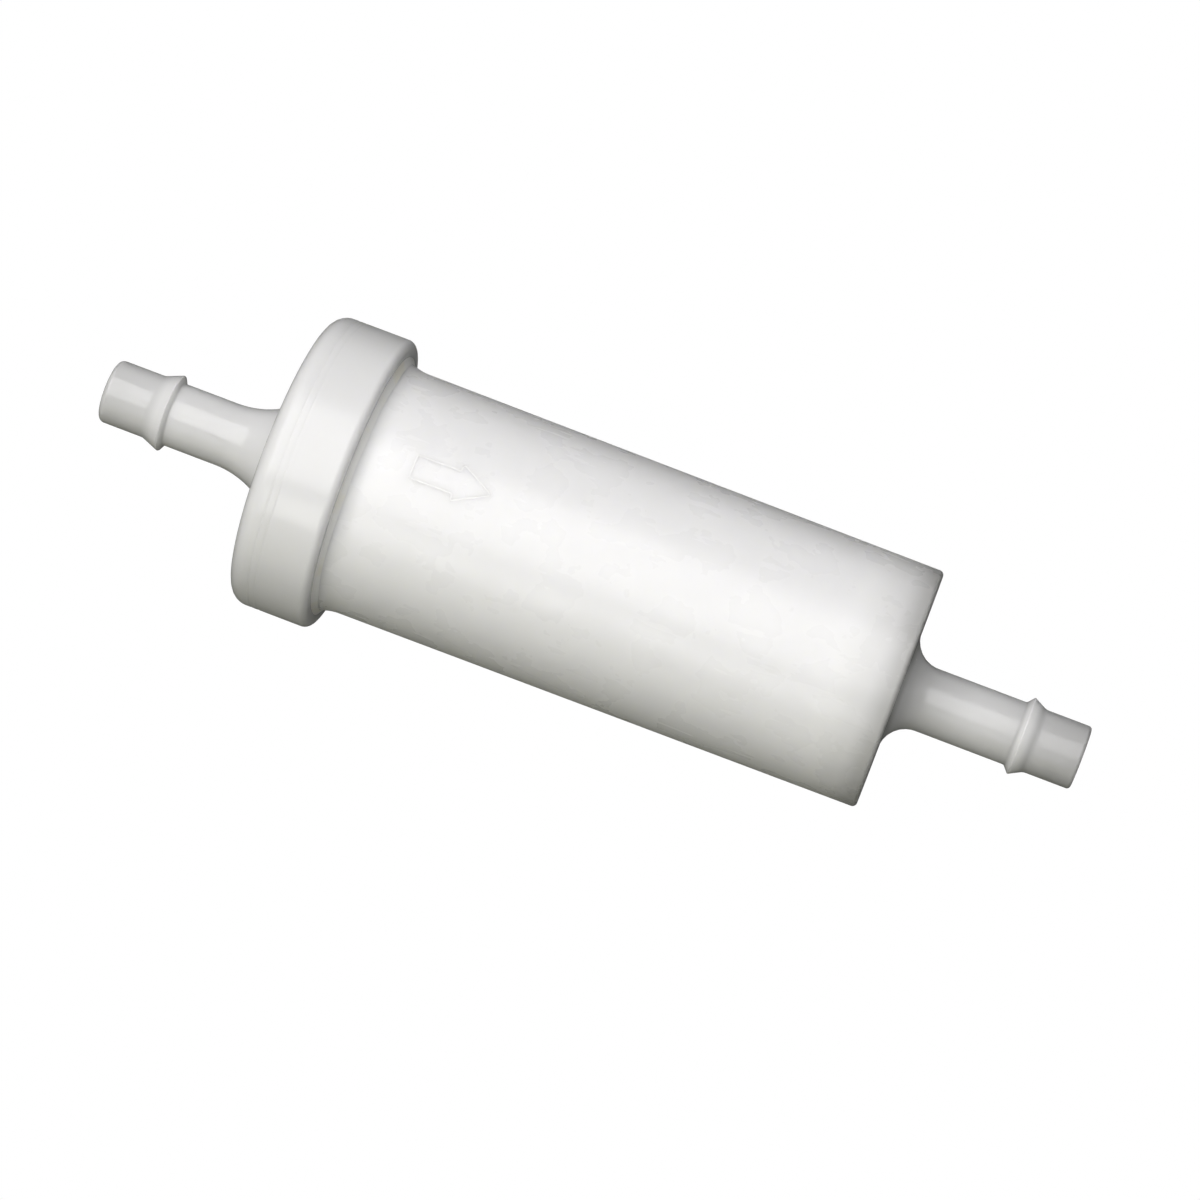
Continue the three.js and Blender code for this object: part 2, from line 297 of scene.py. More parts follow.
class Nodes:
    """Builds one material's node tree. Its textures are laid out in millimetres."""

    def __init__(self, name):
        self.material = bpy.data.materials.new(name)
        self.material.use_nodes = True
        self.tree = self.material.node_tree
        self.shader = self.tree.nodes["Principled BSDF"]
        coordinates = self.add("ShaderNodeTexCoord").outputs["Object"]
        scaled = self.add(
            "ShaderNodeVectorMath",
            {"Vector": coordinates, "Scale": 1 / MM},
            operation="SCALE",
        )
        self.place = scaled.outputs["Vector"]

    def add(self, kind, inputs=None, **settings):
        """Adds a node. An input is a plain value, or another node's output to link."""
        node = self.tree.nodes.new(kind)
        for key, value in settings.items():
            setattr(node, key, value)
        for key, value in (inputs or {}).items():
            self.feed(node.inputs[key], value)
        return node

    def feed(self, socket, value):
        if isinstance(value, bpy.types.NodeSocket):
            self.tree.links.new(value, socket)
        else:
            socket.default_value = value

    def set(self, **sockets):
        """Sets the shader's sockets, named with underscores for spaces."""
        for name, value in sockets.items():
            self.feed(self.shader.inputs[name.replace("_", " ")], value)

    def noise(self, size, detail=3.0, stretch=(1, 1, 1), seed=0.0):
        """Noise around 0.5, with features about size across, stretched along each axis."""
        mapping = self.add("ShaderNodeMapping", {
            "Vector": self.place,
            "Location": (seed, seed, seed),
            "Scale": [1 / (size * s) for s in stretch],
        })
        texture = self.add("ShaderNodeTexNoise", {
            "Vector": mapping.outputs["Vector"],
            "Scale": 1.0,
            "Detail": detail,
        })
        return texture.outputs["Fac"]

    def cells(self, size, seed=0.0):
        """Distance from scattered points, 0 at each point, with cells about size across."""
        mapping = self.add("ShaderNodeMapping", {
            "Vector": self.place,
            "Location": (seed, seed, seed),
            "Scale": (1 / size, 1 / size, 1 / size),
        })
        texture = self.add("ShaderNodeTexVoronoi", {
            "Vector": mapping.outputs["Vector"],
            "Scale": 1.0,
        })
        return texture.outputs["Distance"]

    def ranged(self, value, from_low, from_high, to_low, to_high):
        """Carries a value from one range to another, and holds it there."""
        node = self.add("ShaderNodeMapRange", {
            "Value": value,
            "From Min": from_low,
            "From Max": from_high,
            "To Min": to_low,
            "To Max": to_high,
        }, interpolation_type="SMOOTHSTEP")
        return node.outputs["Result"]

    def math(self, operation, first, second):
        node = self.add("ShaderNodeMath", {0: first, 1: second}, operation=operation)
        return node.outputs["Value"]

    def mixed(self, share, first, second):
        """Mixes two colours by a share from 0 to 1."""
        node = self.add(
            "ShaderNodeMix",
            {"Factor": share, 6: first, 7: second},
            data_type="RGBA",
        )
        return node.outputs[2]

    def bumped(self, height, depth, under=None):
        """A normal that stands for a relief of the given depth, on top of another one."""
        node = self.add("ShaderNodeBump", {"Height": height, "Distance": depth * MM})
        if under is not None:
            self.feed(node.inputs["Normal"], under)
        return node.outputs["Normal"]

    def along_flow(self):
        """The station of the point that is shaded."""
        split = self.add("ShaderNodeSeparateXYZ", {"Vector": self.place})
        return self.math("ADD", split.outputs["X"], OVERALL_LENGTH / 2)

    def from_axis(self):
        """How far the point that is shaded lies from the flow axis."""
        across = self.add(
            "ShaderNodeVectorMath",
            {0: self.place, 1: (0, 1, 1)},
            operation="MULTIPLY",
        )
        length = self.add(
            "ShaderNodeVectorMath",
            {"Vector": across.outputs["Vector"]},
            operation="LENGTH",
        )
        return length.outputs["Value"]


# ---- Materials ----------------------------------------------------------------------------

def grey(level):
    return (level, level, level, 1)


def housing_colour_with_painted_shade(nodes, at_cap):
    """The housing's colour: nearly white, with painted shade and painted light standing in for
    light through the translucent wall.

    Painted shade greys it where nothing white backs the wall: at the cap, over the bores and over
    the outlet plenum. The outlet end wall and the open tips get darker painted shade, and the
    barbs, which are thicker, get painted light.
    """
    station = nodes.along_flow()
    radius = nodes.from_axis()
    cloud = nodes.ranged(nodes.noise(14, 2), 0.35, 0.65, 0, 1)
    colour = nodes.mixed(cloud, (0.93, 0.93, 0.92, 1), (0.96, 0.96, 0.95, 1))
    # Painted shade: the cap is greyed because nothing white backs its wall.
    colour = nodes.mixed(at_cap, colour, grey(0.83))
    # Painted shade over the bores, where the wall has nothing white behind it.
    bore_painted_shade = nodes.ranged(radius, 4.2, 9.5, 1, 0)
    colour = nodes.mixed(bore_painted_shade, colour, grey(0.74))
    # Painted shade over the outlet plenum, where nothing behind the wall sends light back.
    plenum_painted_shade = nodes.ranged(station, BODY_END - 10.2, BODY_END - 0.2, 0, 1)
    colour = nodes.mixed(plenum_painted_shade, colour, grey(0.72))
    # Painted shade on the outlet end wall, which faces away from the key light.
    into_end_wall = nodes.ranged(station, BODY_END - 3.7, BODY_END + 0.3, 0, 1)
    out_of_end_wall = nodes.ranged(station, BODY_END - 0.1, BODY_END + 0.8, 1, 0)
    end_wall_painted_shade = nodes.math("MULTIPLY", into_end_wall, out_of_end_wall)
    colour = nodes.mixed(end_wall_painted_shade, colour, (0.48, 0.48, 0.47, 1))
    # Painted shade at both open tips.
    inlet_tip_painted_shade = nodes.ranged(station, 0.0, 12.0, 1, 0)
    colour = nodes.mixed(inlet_tip_painted_shade, colour, grey(0.64))
    outlet_tip_painted_shade = nodes.ranged(station, OVERALL_LENGTH - 16.0, OVERALL_LENGTH, 0, 1)
    colour = nodes.mixed(outlet_tip_painted_shade, colour, grey(0.52))
    # Painted light: the barb ridges are lightened to soften the shade on their slopes.
    from_middle = nodes.math("ABSOLUTE", nodes.math("SUBTRACT", station, OVERALL_LENGTH / 2), 0)
    near_barb = nodes.ranged(from_middle, 54.0, 55.0, 0, 1)
    above_stub = nodes.ranged(radius, 4.15, 4.7, 0, 1)
    ridge_painted_light = nodes.math("MULTIPLY", above_stub, near_barb)
    colour = nodes.mixed(ridge_painted_light, colour, grey(0.79))
    specks = nodes.ranged(nodes.cells(2.6, seed=3), 0.015, 0.04, 0.12, 0)
    return nodes.mixed(specks, colour, (0.55, 0.50, 0.40, 1))


def housing_roughness(nodes, at_cap):
    """A soft gloss with uneven patches and scuffs along the flow, smoother at cap and stubs."""
    scuffs = nodes.ranged(nodes.noise(1.2, 4, stretch=(6, 1, 1)), 0.56, 0.72, 0, 0.05)
    dullness = nodes.ranged(nodes.noise(5, 3, seed=7), 0.3, 0.7, 0.25, 0.31)
    stub_polish = nodes.ranged(nodes.from_axis(), 6.0, 12.0, 0.08, 0)
    cap_polish = nodes.math("MULTIPLY", at_cap, 0.09)
    polish = nodes.math("ADD", stub_polish, cap_polish)
    gloss = nodes.math("SUBTRACT", dullness, polish)
    return nodes.math("ADD", gloss, scuffs)


def housing_plastic(name, milkiness):
    """Natural acetal. milkiness is how much of the light goes in and scatters, from 0 to 1."""
    nodes = Nodes(name)
    at_cap = nodes.ranged(nodes.along_flow(), CAP_BACK - 0.1, CAP_BACK + 0.9, 1, 0)
    sink_marks = nodes.bumped(nodes.noise(6, 2, seed=11), 0.05)
    nodes.set(
        Base_Color=housing_colour_with_painted_shade(nodes, at_cap),
        Roughness=housing_roughness(nodes, at_cap),
        Normal=nodes.bumped(nodes.noise(0.3, 4), 0.004, sink_marks),
        IOR=1.48,
        Subsurface_Weight=milkiness,
        Subsurface_Radius=(1.0, 1.0, 0.95),
        Subsurface_Scale=0.0015,
    )
    return nodes.material


def weld_plastic():
    """The same plastic, melted and run out at the joint, and yellowed in places. Its white is set
    above the housing's, as painted light in the shaded crevice.
    """
    nodes = Nodes("weld_plastic")
    burnt = nodes.ranged(nodes.noise(5, 3, seed=5), 0.50, 0.72, 0, 0.6)
    # The near-white is painted light: whiter than the housing's plastic, to lift the shaded crevice
    # at the joint. The yellowed patches are the plastic's own.
    colour = nodes.mixed(burnt, (0.98, 0.98, 0.96, 1), (0.91, 0.88, 0.74, 1))
    ripple = nodes.bumped(nodes.noise(1.8, 2), 0.02)
    nodes.set(
        Base_Color=colour,
        Roughness=nodes.ranged(nodes.noise(1.5, 3), 0.3, 0.7, 0.34, 0.5),
        Normal=ripple,
        IOR=1.48,
    )
    return nodes.material


def cartridge_plastic():
    """Moulded nylon, with flow lines and a matt tool finish."""
    nodes = Nodes("cartridge_plastic")
    flow = nodes.ranged(nodes.noise(5, 3, stretch=(1, 1, 2)), 0.35, 0.65, 0, 1)
    colour = nodes.mixed(flow, (0.74, 0.74, 0.69, 1), (0.80, 0.80, 0.77, 1))
    texture = nodes.bumped(nodes.noise(0.18, 3), 0.008)
    nodes.set(
        Base_Color=colour,
        Roughness=nodes.ranged(nodes.noise(1.8, 3), 0.3, 0.7, 0.42, 0.56),
        Normal=texture,
        Subsurface_Weight=0.2,
        Subsurface_Radius=(1.0, 0.95, 0.8),
        Subsurface_Scale=0.001,
    )
    return nodes.material


def filter_paper():
    """Resin-treated cellulose: tan, with crossing fibres and a matt face."""
    nodes = Nodes("filter_paper")
    long_fibres = nodes.noise(0.16, 4, stretch=(5, 1, 1))
    cross_fibres = nodes.noise(0.16, 4, stretch=(1, 4, 4), seed=9)
    felt = nodes.math("ADD", long_fibres, cross_fibres)
    stain = nodes.ranged(nodes.noise(7, 3, seed=2), 0.35, 0.7, 0, 1)
    matted = nodes.ranged(felt, 0.75, 1.25, 0, 1)
    dry = nodes.mixed(matted, (0.84, 0.79, 0.62, 1), (0.92, 0.88, 0.74, 1))
    colour = nodes.mixed(nodes.math("MULTIPLY", stain, 0.35), dry, (0.76, 0.67, 0.47, 1))
    nodes.set(
        Base_Color=colour,
        Roughness=nodes.ranged(felt, 0.75, 1.25, 0.86, 0.97),
        Normal=nodes.bumped(felt, 0.03),
        Specular_IOR_Level=0.2,
        Sheen_Weight=0.15,
        Sheen_Roughness=0.5,
    )
    return nodes.material


def adhesive():
    """Amber plastisol with small trapped bubbles."""
    nodes = Nodes("adhesive")
    depth = nodes.ranged(nodes.noise(3, 3), 0.3, 0.7, 0, 1)
    colour = nodes.mixed(depth, (0.58, 0.36, 0.12, 1), (0.72, 0.50, 0.20, 1))
    bubbles = nodes.ranged(nodes.cells(1.1), 0.08, 0.2, 0, 1)
    settled = nodes.bumped(nodes.noise(1.6, 2), 0.1)
    nodes.set(
        Base_Color=colour,
        Roughness=nodes.ranged(nodes.noise(2, 3, seed=4), 0.3, 0.7, 0.18, 0.34),
        Normal=nodes.bumped(bubbles, 0.05, settled),
        Subsurface_Weight=0.35,
        Subsurface_Radius=(1.0, 0.5, 0.15),
        Subsurface_Scale=0.0008,
    )
    return nodes.material


def drawn_steel(name, tone, stretch, tarnish):
    """Bright steel with draw or rolling marks along it and a little tarnish."""
    nodes = Nodes(name)
    marks = nodes.noise(0.07, 4, stretch=stretch)
    dull = nodes.ranged(nodes.noise(2.2, 4, seed=6), 0.45, 0.75, 0, 1)
    colour = nodes.mixed(dull, tone, tarnish)
    worn = nodes.ranged(marks, 0.3, 0.7, 0.2, 0.38)
    nodes.set(
        Base_Color=colour,
        Metallic=1.0,
        Roughness=nodes.math("ADD", worn, nodes.math("MULTIPLY", dull, 0.12)),
        Normal=nodes.bumped(marks, 0.004),
    )
    return nodes.material


def seal_rubber():
    """Black nitrile with a dusting of moulding powder."""
    nodes = Nodes("seal_rubber")
    dust = nodes.ranged(nodes.noise(0.25, 5), 0.55, 0.75, 0, 0.5)
    colour = nodes.mixed(dust, (0.018, 0.017, 0.017, 1), (0.09, 0.088, 0.085, 1))
    nodes.set(
        Base_Color=colour,
        Roughness=nodes.ranged(nodes.noise(0.8, 3), 0.3, 0.7, 0.42, 0.62),
        Normal=nodes.bumped(nodes.noise(0.12, 3), 0.006),
    )
    return nodes.material


# ---- Pieces -------------------------------------------------------------------------------

def place_piece(piece, node, body, material):
    """Puts a piece on its body, in place of its CAD node, with its finish."""
    piece.data.materials.clear()
    piece.data.materials.append(material)
    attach(piece, body)
    if node is not None:
        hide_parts(node)


def stub_tip(tip, direction, tip_round, barb_peak, barb_ramp, barb_back):
    """Corners of a hose stub from its bore to behind its barb. direction is +1 at the inlet."""
    return [
        (BORE_RADIUS, tip, 0.25),
        (STUB_RADIUS, tip, tip_round),
        (STUB_RADIUS, tip + direction * (barb_peak - barb_ramp), 1.5),
        (BARB_RADIUS, tip + direction * barb_peak, 0.14),
        (STUB_RADIUS, tip + direction * (barb_peak + barb_back), barb_back / 2),
    ]


def body_radius(station):
    share = (station - CAP_BACK) / (BODY_END - CAP_BACK)
    return BODY_RADIUS_AT_CAP + share * (BODY_RADIUS_AT_END - BODY_RADIUS_AT_CAP)


def swelling(share):
    """A corner of the body's outline where melted plastic thickens it, fading with share."""
    station = SWELL_START + SWELL_LENGTH * share
    return (body_radius(station) + SWELL_HEIGHT * (1 - share) ** 2, station)


def make_body():
    """The shell with its socket and the outlet stub, in one moulding."""
    section = rounded([
        *stub_tip(OVERALL_LENGTH, -1, **OUTLET_STUB),
        (STUB_RADIUS, BODY_END, OUTLET_FLARE),
        (BODY_RADIUS_AT_END, BODY_END, BODY_END_ROUND),
        *[swelling(share) for share in np.linspace(1, 0, 10)],
        (body_radius(CAP_BACK), SWELL_START),
        (body_radius(BODY_OPEN_END), BODY_OPEN_END, 0.4),
        (body_radius(BODY_OPEN_END) - BODY_WALL, BODY_OPEN_END, 0.4),
        (body_radius(BODY_END_FACE) - BODY_WALL, BODY_END_FACE, 0.5),
        (SOCKET_OUTER, BODY_END_FACE, 0.4),
        (SOCKET_OUTER, SOCKET_MOUTH, 0.3),
        (SOCKET_INNER, SOCKET_MOUTH, 0.4),
        (SOCKET_INNER, SOCKET_FLOOR, 0.2),
        (BORE_RADIUS, SOCKET_FLOOR, 0.2),
    ], steps=8)
    return finish_mesh("housing_body", turned_shell(section, 256))


def rim_line(station, depth):
    """Corners of a fine hollow line round the cap's rim."""
    return [
        (CAP_RADIUS, station, 0.3),
        (CAP_RADIUS - depth, station + 0.2, 0.3),
        (CAP_RADIUS, station + 0.4, 0.3),
    ]


def make_cap():
    """The cap with its skirt, its rib round the spring and the inlet stub, in one moulding."""
    rib_end = CAP_INNER_FACE + SPRING_RIB_HEIGHT
    rim_lines = [corner for line in RIM_LINES.items() for corner in rim_line(*line)]
    sweep = math.degrees(math.asin((CAP_FRONT - INLET_FLARE_START) / INLET_FLARE_RADIUS))
    flare_centre = (STUB_RADIUS + INLET_FLARE_RADIUS, INLET_FLARE_START)
    section = rounded([
        *stub_tip(0, 1, **INLET_STUB),
        *arc(flare_centre, INLET_FLARE_RADIUS, 180, -sweep, 14),
        (CAP_RADIUS, CAP_FRONT, CAP_FRONT_ROUND),
        *rim_lines,
        (CAP_RADIUS, CAP_BACK, CAP_BACK_ROUND),
        (SKIRT_INNER, CAP_BACK, 0.3),
        (SKIRT_INNER, CAP_INNER_FACE, 0.4),
        (SPRING_RIB_OUTER, CAP_INNER_FACE, 0.2),
        (SPRING_RIB_OUTER, rib_end, 0.25),
        (SPRING_RIB_INNER, rib_end, 0.25),
        (SPRING_RIB_INNER, CAP_INNER_FACE, 0.2),
        (BORE_RADIUS, CAP_INNER_FACE, 0.4),
    ], steps=8)
    return finish_mesh("housing_cap", turned_shell(section, 256))


def make_weld_fillet():
    """The hollow fillet of melted plastic round the joint, wider in some places than in others."""
    def uneven(angle, section):
        spread = 1 + 0.05 * waves(angle, (2, 3, 5, 9), 21)
        rise = 1 + 0.05 * waves(angle, (2, 4, 7, 13), 23)
        radius = FILLET_INNER + (section[:, 0] - FILLET_INNER) * rise
        station = FILLET_START + (section[:, 1] - FILLET_START) * spread
        return np.stack([radius, station], axis=1)

    share = np.linspace(0, 1, 13)
    radius = FILLET_INNER + FILLET_HEIGHT * (1 - share) ** 2
    station = FILLET_START + FILLET_LENGTH * share
    hollow = np.stack([radius, station], axis=1)
    root = FILLET_INNER - 0.1
    front = [(root, FILLET_START)]
    back = [(root, FILLET_START + FILLET_LENGTH)]
    section = np.concatenate([front, hollow, back])
    return finish_mesh("weld_fillet", turned_shell(section, 320, uneven))


def make_flow_arrow():
    """The outline of an arrow that points along the flow, and barely stands out of the body."""
    inset = ARROW_LINE / 2
    shaft = ARROW_SHAFT_WIDTH / 2 - inset
    wing = ARROW_HEAD_WIDTH / 2 - inset
    tail = ARROW_TAIL + inset
    shoulder = ARROW_TAIL + ARROW_LENGTH - ARROW_HEAD_LENGTH + inset
    tip = ARROW_TAIL + ARROW_LENGTH - 2 * inset
    outline = rounded([
        (-shaft, tail, 0.25),
        (shaft, tail, 0.25),
        (shaft, shoulder, 0.2),
        (wing, shoulder, 0.2),
        (0, tip, 0.25),
        (-wing, shoulder, 0.2),
        (-shaft, shoulder, 0.2),
    ], steps=4)
    path = []
    for i, (across, station) in enumerate(outline):
        next_across, next_station = outline[(i + 1) % len(outline)]
        for share in np.linspace(0, 1, 12, endpoint=False):
            y = across + share * (next_across - across)
            s = station + share * (next_station - station)
            path.append((flow_x(s), y, math.sqrt(body_radius(s) ** 2 - y ** 2) - ARROW_SUNK))
    return tube_along("flow_arrow", path, ARROW_LINE, cyclic=True)


def make_spring():
    """Coil spring with closely wound ends."""
    active_turns = SPRING_TURNS - 2 * DEAD_TURNS
    span = SPRING_END - SPRING_START - 2 * WIRE_RADIUS
    active_pitch = (span - 2 * DEAD_TURNS * DEAD_PITCH) / active_turns
    path = []
    for turn in np.linspace(0, SPRING_TURNS, int(SPRING_TURNS * 48) + 1):
        active = min(max(turn - DEAD_TURNS, 0), active_turns)
        climb = active * active_pitch + (turn - active) * DEAD_PITCH
        angle = 2 * math.pi * turn
        path.append((
            flow_x(SPRING_START + WIRE_RADIUS + climb),
            SPRING_RADIUS * math.cos(angle),
            SPRING_RADIUS * math.sin(angle),
        ))
    return tube_along("coil_spring", path, WIRE_RADIUS, cyclic=False)


def rounded_block(size, centre, turn, bevel):
    """A block with rounded edges, turned about the flow axis, as a bmesh."""
    block = bmesh.new()
    bmesh.ops.create_cube(block, size=1)
    bmesh.ops.scale(block, vec=size, verts=block.verts)
    bmesh.ops.bevel(block, geom=block.edges[:], offset=bevel, segments=4, affect="EDGES")
    bmesh.ops.translate(block, vec=centre, verts=block.verts)
    bmesh.ops.rotate(block, matrix=Matrix.Rotation(turn, 3, "X"), verts=block.verts)
    return block


def join_shells(shells):
    joined = bmesh.new()
    for shell in shells:
        mesh = bpy.data.meshes.new("part")
        shell.to_mesh(mesh)
        shell.free()
        joined.from_mesh(mesh)
        bpy.data.meshes.remove(mesh)
    return joined


def make_closed_disc():
    """Blind end disc with a boss for the spring and centring lugs round its rim."""
    rim_end = CLOSED_DISC_BACK + DISC_RIM
    section = rounded([
        (0, CLOSED_DISC_FRONT - BOSS_HEIGHT),
        (BOSS_RADIUS, CLOSED_DISC_FRONT - BOSS_HEIGHT, 0.4),
        (BOSS_RADIUS, CLOSED_DISC_FRONT, 0.3),
        (DISC_RADIUS, CLOSED_DISC_FRONT, DISC_ROUND),
        (DISC_RADIUS, rim_end, 0.2),
        (DISC_RADIUS - DISC_RIM_WALL, rim_end, 0.2),
        (DISC_RADIUS - DISC_RIM_WALL, CLOSED_DISC_BACK, 0.2),
        (0, CLOSED_DISC_BACK),
    ])
    shells = [turned_shell(section)]
    lug_station = CLOSED_DISC_FRONT + DISC_ROUND + LUG_SIZE[0] / 2
    lug_centre = (flow_x(lug_station), 0, DISC_RADIUS + 0.3)
    for i in range(LUG_COUNT):
        turn = (i + 0.5) * 2 * math.pi / LUG_COUNT
        shells.append(rounded_block(LUG_SIZE, lug_centre, turn, 0.25))
    return finish_mesh("closed_disc", join_shells(shells))


def make_open_disc():
    """End disc with the spigot that plugs into the body's socket."""
    section = rounded([
        (SPIGOT_BORE, OPEN_DISC_FRONT, 0.3),
        (DISC_RADIUS - DISC_RIM_WALL, OPEN_DISC_FRONT, 0.2),
        (DISC_RADIUS - DISC_RIM_WALL, OPEN_DISC_FRONT - DISC_RIM, 0.2),
        (DISC_RADIUS, OPEN_DISC_FRONT - DISC_RIM, 0.2),
        (DISC_RADIUS, OPEN_DISC_BACK, DISC_ROUND),
        (SHOULDER_RADIUS, OPEN_DISC_BACK, 0.3),
        (SHOULDER_RADIUS, SHOULDER_END, 0.2),
        (SPIGOT_RADIUS, SHOULDER_END, 0.2),
        (SPIGOT_RADIUS, GROOVE_START, 0.12),
        (GROOVE_RADIUS, GROOVE_START, 0.12),
        (GROOVE_RADIUS, GROOVE_END, 0.12),
        (SPIGOT_RADIUS, GROOVE_END, 0.12),
        (SPIGOT_RADIUS, SPIGOT_END, 0.3),
        (SPIGOT_BORE, SPIGOT_END, 0.2),
    ])
    return finish_mesh("open_disc", turned_shell(section))


def make_potting(name, inner, start, end, free_end):
    """A ring or disc of adhesive, with its free face wetted up the paper."""
    def settled(angle, section):
        radius, station = section.T
        on_free_face = np.abs(station - free_end) < 0.35
        lift = 0.09 * waves(angle * np.ones_like(radius) + radius, (PLEATS, 11, 17), 31)
        return np.stack([radius, station + np.where(on_free_face, lift, 0)], axis=1)

    middle = [inner + (POTTING_RADIUS - inner) * share for share in (0.25, 0.5, 0.75)]
    corners = [(inner, start), (POTTING_RADIUS, start, 0.15), (POTTING_RADIUS, end, 0.15)]
    corners += [(radius, end) for radius in reversed(middle)]
    corners.append((inner, end))
    if free_end == start:
        corners = [(radius, start + end - station, *more) for radius, station, *more in corners]
    return finish_mesh(name, turned_shell(rounded(corners), 240, settled))


def paper_line():
    """The middle line of the folded paper across the flow, in (y, z)."""
    outer = PLEAT_OUTER - PAPER / 2
    inner = PLEAT_INNER + PAPER / 2
    corners = []
    for i in range(PLEATS):
        peak = 2 * math.pi * i / PLEATS
        valley = peak + math.pi / PLEATS
        for radius, angle, half, rounding in ((outer, peak, 0.5, 0.35), (inner, valley, 0.3, 0.25)):
            for side in (-1, 1):
                turn = angle + side * half / radius
                corners.append((radius * math.cos(turn), radius * math.sin(turn), rounding))
    return rounded(corners, steps=4)


def make_pleated_paper():
    """The paper pack. Its folds lean and breathe a little along the length."""
    line = paper_line()
    along = np.roll(line, -1, axis=0) - np.roll(line, 1, axis=0)
    along /= np.linalg.norm(along, axis=1, keepdims=True)
    outward = np.stack([along[:, 1], -along[:, 0]], axis=1)
    faces = [line + outward * PAPER / 2, line - outward * PAPER / 2]
    embedded = 0.5
    stations = np.linspace(MEDIA_START - embedded, MEDIA_END + embedded, 50)
    rings = []
    for face, order in zip(faces, (stations, stations[::-1])):
        for station in order:
            angle = np.arctan2(face[:, 1], face[:, 0])
            lean = 0.010 * np.sin(0.23 * station + 3 * angle)
            swell = 1 - 0.006 * (1 + np.sin(0.31 * station + 7 * angle))
            radius = np.hypot(face[:, 0], face[:, 1]) * swell
            x = np.full(len(face), flow_x(station))
            rings.append(np.stack([
                x,
                radius * np.cos(angle + lean),
                radius * np.sin(angle + lean),
            ], axis=1))
    return finish_mesh("pleated_paper", ring_shell(rings), 60)


def make_seam_clip():
    """A folded steel channel, crimped at intervals on to the paper's two ends."""
    low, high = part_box("side_seam_clip")
    side = -CLIP_HALF_WIDTH
    leg = [(side, 11.3), (side, 11.6), (side, 11.9), (side + 0.08, CLIP_TOP - 0.03)]
    back = [(side + 0.25, CLIP_TOP), (0, CLIP_TOP), (-side - 0.25, CLIP_TOP)]
    other_leg = [(-y, z) for y, z in reversed(leg)]
    profile = leg + back + other_leg
    towards_seam = math.atan2((low.z + high.z) / 2, (low.y + high.y) / 2)
    shell = bmesh.new()
    rows = []
    for station in np.linspace(MEDIA_START, MEDIA_END, 241):
        crimp = math.exp(-((station % CRIMP_PITCH - CRIMP_PITCH / 2) / 0.5) ** 2)
        pinch = 1 - 0.1 * crimp
        rows.append([
            shell.verts.new((flow_x(station), y * pinch, z - 0.05 * crimp)) for y, z in profile
        ])
    for row, following in zip(rows, rows[1:]):
        for j in range(len(profile) - 1):
            shell.faces.new((row[j], row[j + 1], following[j + 1], following[j]))
    turn = Matrix.Rotation(towards_seam - math.pi / 2, 3, "X")
    bmesh.ops.rotate(shell, matrix=turn, verts=shell.verts)
    clip = finish_mesh("seam_clip", shell)
    sheet = clip.modifiers.new("sheet", "SOLIDIFY")
    sheet.thickness = CLIP_SHEET * MM
    sheet.offset = 0
    return clip


def make_core():
    """A moulded cage: a tube with staggered windows."""
    columns = 96
    window_columns = 10
    bay = columns // WINDOWS_AROUND
    pitch = (MEDIA_END - MEDIA_START) / WINDOW_ROWS
    bar = (pitch - WINDOW_LENGTH) / 2
    steps = [0.0, bar] + [bar + WINDOW_LENGTH * k / 8 for k in range(1, 9)] + [pitch]
    wall = CORE_OUTER - CORE_INNER
    middle = (CORE_OUTER + CORE_INNER) / 2
    shell = bmesh.new()
    stations = [MEDIA_START]
    for row in range(WINDOW_ROWS):
        stations += [MEDIA_START + row * pitch + step for step in steps[1:]]
    rings = []
    for station in stations:
        angles = 2 * math.pi * np.arange(columns) / columns
        rings.append([
            shell.verts.new((flow_x(station), middle * math.cos(a), middle * math.sin(a)))
            for a in angles
        ])
    for i in range(len(rings) - 1):
        row, step = divmod(i, len(steps) - 1)
        open_step = 0 < step < len(steps) - 2
        for j in range(columns):
            shifted = (j + window_columns // 2 + (row % 2) * bay // 2) % bay
            if open_step and shifted < window_columns:
                continue
            k = (j + 1) % columns
            shell.faces.new((rings[i][j], rings[i][k], rings[i + 1][k], rings[i + 1][j]))
    core = finish_mesh("core_cage", shell, 60)
    solid = core.modifiers.new("wall", "SOLIDIFY")
    solid.thickness = wall * MM
    solid.offset = 0
    soften = core.modifiers.new("soft_edges", "BEVEL")
    soften.width = 0.12 * MM
    soften.segments = 3
    soften.limit_method = "ANGLE"
    return core


def make_o_ring():
    """O-ring with a faint moulding flash round its inner and outer lines."""
    section = []
    for angle in np.linspace(0, 2 * np.pi, 48, endpoint=False):
        flash = RING_FLASH * math.exp(-(math.sin(angle) / 0.06) ** 2)
        reach = RING_SECTION - RING_FLASH + flash
        radius = RING_RADIUS + reach * math.cos(angle)
        station = RING_STATION + reach * math.sin(angle)
        section.append((radius, station))
    return finish_mesh("o_ring", turned_shell(np.array(section)), 60)


# ---- Assembly -----------------------------------------------------------------------------

def build_housing():
    plastic = housing_plastic("housing_plastic", 1.0)
    arrow_plastic = housing_plastic("arrow_plastic", 0.0)
    place_piece(make_body(), "filter_body", "housing", plastic)
    place_piece(make_flow_arrow(), None, "housing", arrow_plastic)
    place_piece(make_cap(), "inlet_cap", "housing", plastic)
    place_piece(make_weld_fillet(), "weld_bead", "housing", weld_plastic())
    spring = make_spring()
    wire = drawn_steel("spring_steel", (0.62, 0.62, 0.61, 1), (3, 3, 3), (0.42, 0.37, 0.30, 1))
    place_piece(spring, "preload_spring", "housing", wire)
    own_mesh(spring)


